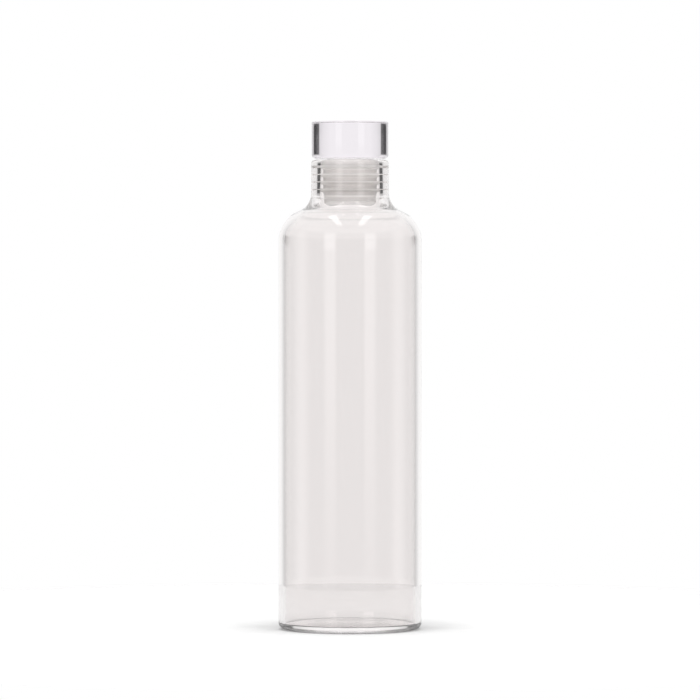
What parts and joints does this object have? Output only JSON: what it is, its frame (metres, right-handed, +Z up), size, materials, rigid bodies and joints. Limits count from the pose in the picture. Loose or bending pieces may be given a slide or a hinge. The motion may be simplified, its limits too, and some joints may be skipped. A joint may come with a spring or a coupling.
{
  "type": "glass water bottle",
  "caption": "Slim clear glass water bottle with round shoulders and a solid glass stopper whose ribbed silicone sleeve seals the neck and lifts straight out.",
  "frame": {"origin": "centre of the base, on the plane that the bottle stands on", "axes": "+Z up along the bottle's axis; the bottle is a body of revolution, so +X and +Y are any two level directions"},
  "size_m": [0.066, 0.066, 0.2336],
  "materials": {
    "bottle_glass": "clear polished borosilicate glass",
    "stopper_glass": "clear polished solid glass",
    "silicone": "satin translucent milky silicone"
  },
  "bodies": {
    "bottle": {"bottle_glass": "bottle_glass"},
    "stopper": {"stopper_glass": "stopper_glass", "stopper_sleeve": "silicone"}
  },
  "joints": [
    {"name": "stopper_lift", "type": "slide", "parent": "bottle", "child": "stopper", "axis": [0, 0, 1], "range_m": [0, 0.045]}
  ]
}
